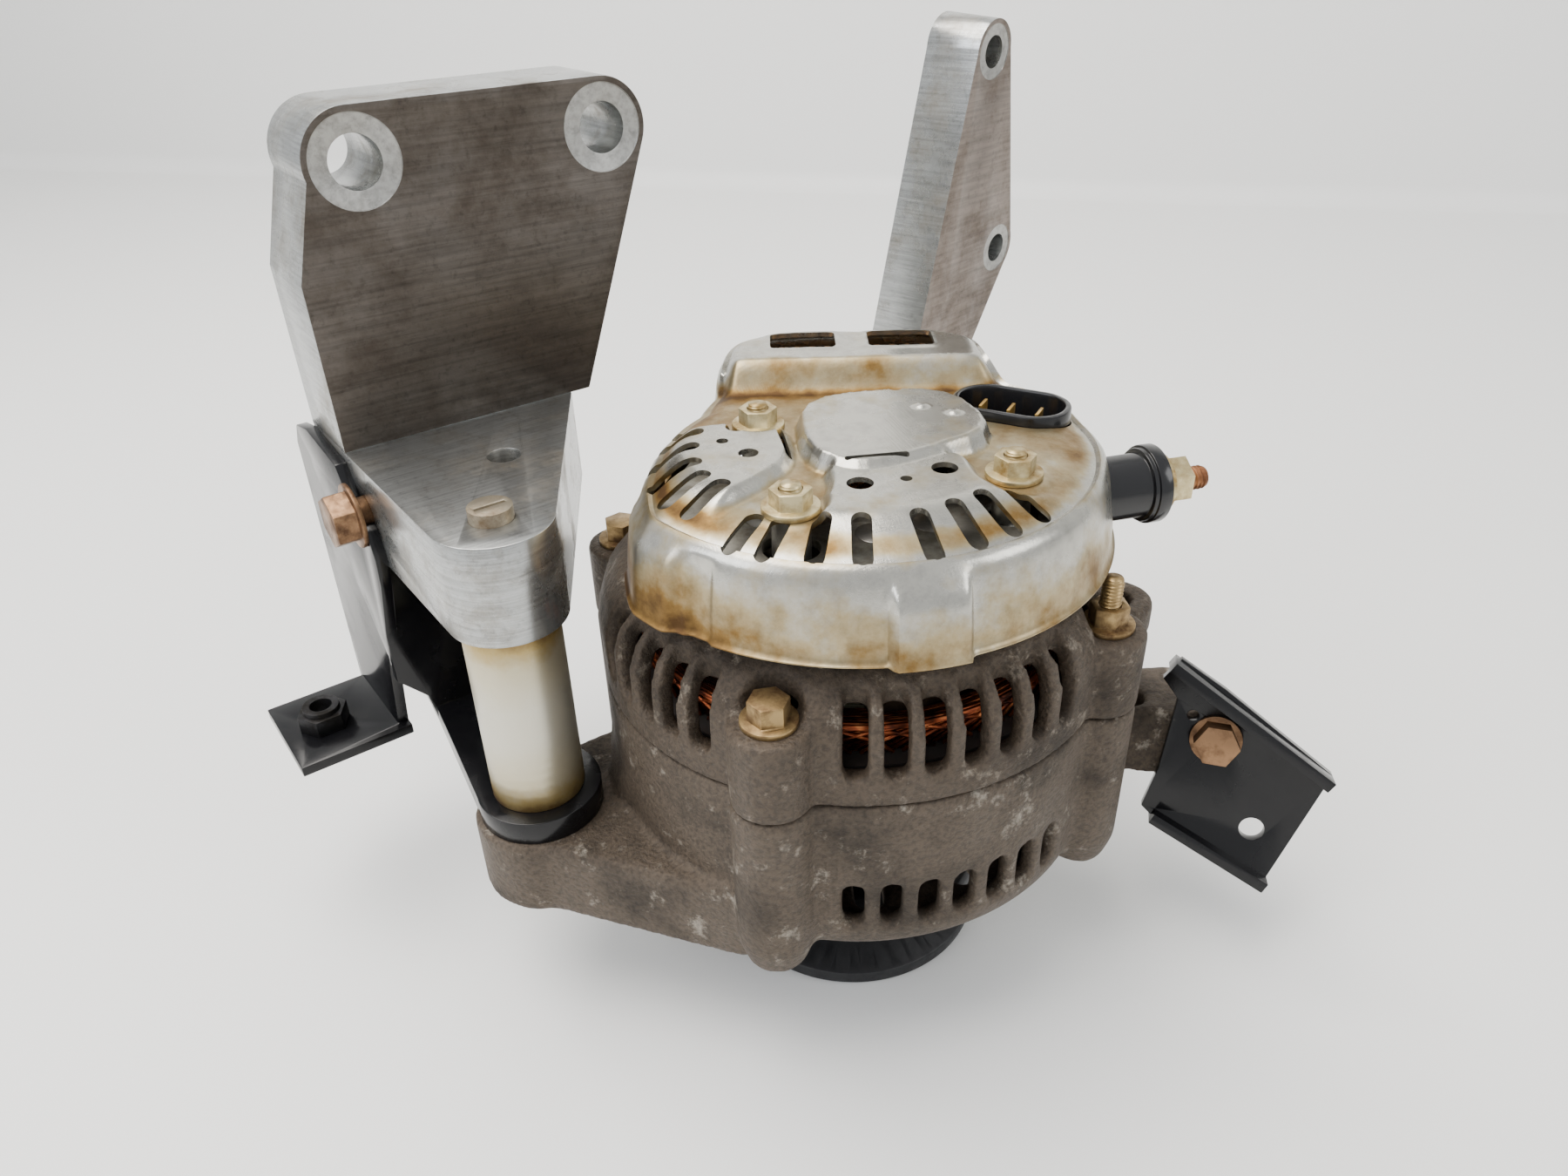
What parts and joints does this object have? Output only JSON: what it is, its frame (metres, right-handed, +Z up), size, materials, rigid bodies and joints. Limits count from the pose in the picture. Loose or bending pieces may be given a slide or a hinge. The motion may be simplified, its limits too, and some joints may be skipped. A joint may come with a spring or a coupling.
{
  "type": "car alternator with mounting brackets",
  "caption": "Belt driven car alternator with a pressed rear cover, a vented cast housing, a swinging milled engine mount and black adjuster and steady brackets.",
  "frame": {"origin": "on the shaft axis, in the plane of the pulley's front rim", "axes": "+Z up the shaft from the pulley to the rear cover; -X towards the pivot bolt of the swinging mount"},
  "size_m": [0.2692, 0.1675, 0.2269],
  "materials": {
    "cast_aluminium": "rough cast, grey brown with road dirt",
    "stamped_aluminium": "satin pressed sheet, stained gold brown in the hollows",
    "milled_aluminium": "milled, brushed, brown stains",
    "plain_aluminium": "plain",
    "laminated_steel": "stacked sheets, varnished",
    "forged_steel": "forged, matte",
    "plain_steel": "turned",
    "bearing_steel": "ground and polished",
    "zinc_steel": "zinc plated, yellow brown",
    "zinc_tube": "zinc plated, cream grey, rust at the ends",
    "black_steel": "black oxide",
    "black_paint": "gloss black paint",
    "enamelled_copper": "enamelled copper wire",
    "copper_ring": "turned copper",
    "copper_plated_steel": "copper plated",
    "brass": "plain",
    "black_plastic": "moulded",
    "pale_plastic": "moulded nylon",
    "carbon": "pressed carbon"
  },
  "bodies": {
    "housing": {"drive_end_frame": "cast_aluminium", "rear_end_frame": "cast_aluminium", "stator_core": "laminated_steel", "stator_windings": "enamelled_copper", "through_bolts": "zinc_steel", "through_stud": "zinc_steel", "through_stud_nut": "zinc_steel", "bearing_retainer": "plain_steel", "retainer_screws": "zinc_steel", "front_bearing_outer": "bearing_steel", "rear_bearing_outer": "bearing_steel", "rear_cover": "stamped_aluminium", "cover_studs": "plain_steel", "cover_nuts": "zinc_steel", "rectifier_plate_negative": "plain_aluminium", "rectifier_plate_positive": "plain_aluminium", "rectifier_board": "black_plastic", "diodes": "bearing_steel", "voltage_regulator": "black_plastic", "regulator_fins": "brass", "plug_shroud": "black_plastic", "plug_blades": "brass", "brush_holder": "black_plastic", "brush_spring_positive": "bearing_steel", "brush_spring_negative": "bearing_steel", "battery_stud": "copper_plated_steel", "battery_bush": "black_plastic", "battery_nut": "zinc_steel", "adjuster_bracket": "black_paint", "rear_plate": "milled_aluminium", "side_bolts": "zinc_steel"},
    "rotor": {"rotor_shaft": "plain_steel", "front_bearing_inner": "bearing_steel", "rear_bearing_inner": "bearing_steel", "claw_pole_front": "forged_steel", "claw_pole_rear": "forged_steel", "field_coil": "enamelled_copper", "coil_bobbin": "pale_plastic", "front_fan": "plain_steel", "rear_fan": "plain_steel", "slip_ring_sleeve": "black_plastic", "slip_rings": "copper_ring", "spacer_collar": "plain_steel", "pulley": "black_paint", "pulley_washer": "zinc_steel", "pulley_nut": "zinc_steel"},
    "front_cage": {"front_bearing_balls": "bearing_steel", "front_bearing_cage": "brass"},
    "rear_cage": {"rear_bearing_balls": "bearing_steel", "rear_bearing_cage": "brass"},
    "mount_bracket": {"pivot_bolt": "zinc_steel", "spacer_tube": "zinc_tube", "pivot_block": "milled_aluminium", "mounting_plate": "milled_aluminium", "plate_screws": "black_steel", "steady_bracket": "black_paint", "bracket_bolt": "zinc_steel", "weld_nut": "black_steel"},
    "brush_positive": {"brush_positive": "carbon"},
    "brush_negative": {"brush_negative": "carbon"}
  },
  "joints": [
    {"name": "rotor_spin", "type": "hinge", "parent": "housing", "child": "rotor", "pos_m": [0, 0, 0.05], "axis": [0, 0, 1], "continuous": true},
    {"name": "front_cage_spin", "type": "hinge", "parent": "housing", "child": "front_cage", "pos_m": [0, 0, 0.0455], "axis": [0, 0, 1], "continuous": true},
    {"name": "rear_cage_spin", "type": "hinge", "parent": "housing", "child": "rear_cage", "pos_m": [0, 0, 0.1155], "axis": [0, 0, 1], "continuous": true},
    {"name": "tension_swing", "type": "hinge", "parent": "housing", "child": "mount_bracket", "pos_m": [-0.084, 0, 0.06], "axis": [0, 0, 1], "range_deg": [-8, 20]},
    {"name": "brush_positive_slide", "type": "slide", "parent": "housing", "child": "brush_positive", "axis": [0.289, 0.9573, 0], "range_m": [0, 0.004], "deforming": ["brush_spring_positive"]},
    {"name": "brush_negative_slide", "type": "slide", "parent": "housing", "child": "brush_negative", "axis": [0.289, 0.9573, 0], "range_m": [0, 0.004], "deforming": ["brush_spring_negative"]}
  ],
  "couplings": [
    {"joint": "front_cage_spin", "follows": "rotor_spin", "ratio": 0.35125},
    {"joint": "rear_cage_spin", "follows": "rotor_spin", "ratio": 0.36455}
  ]
}
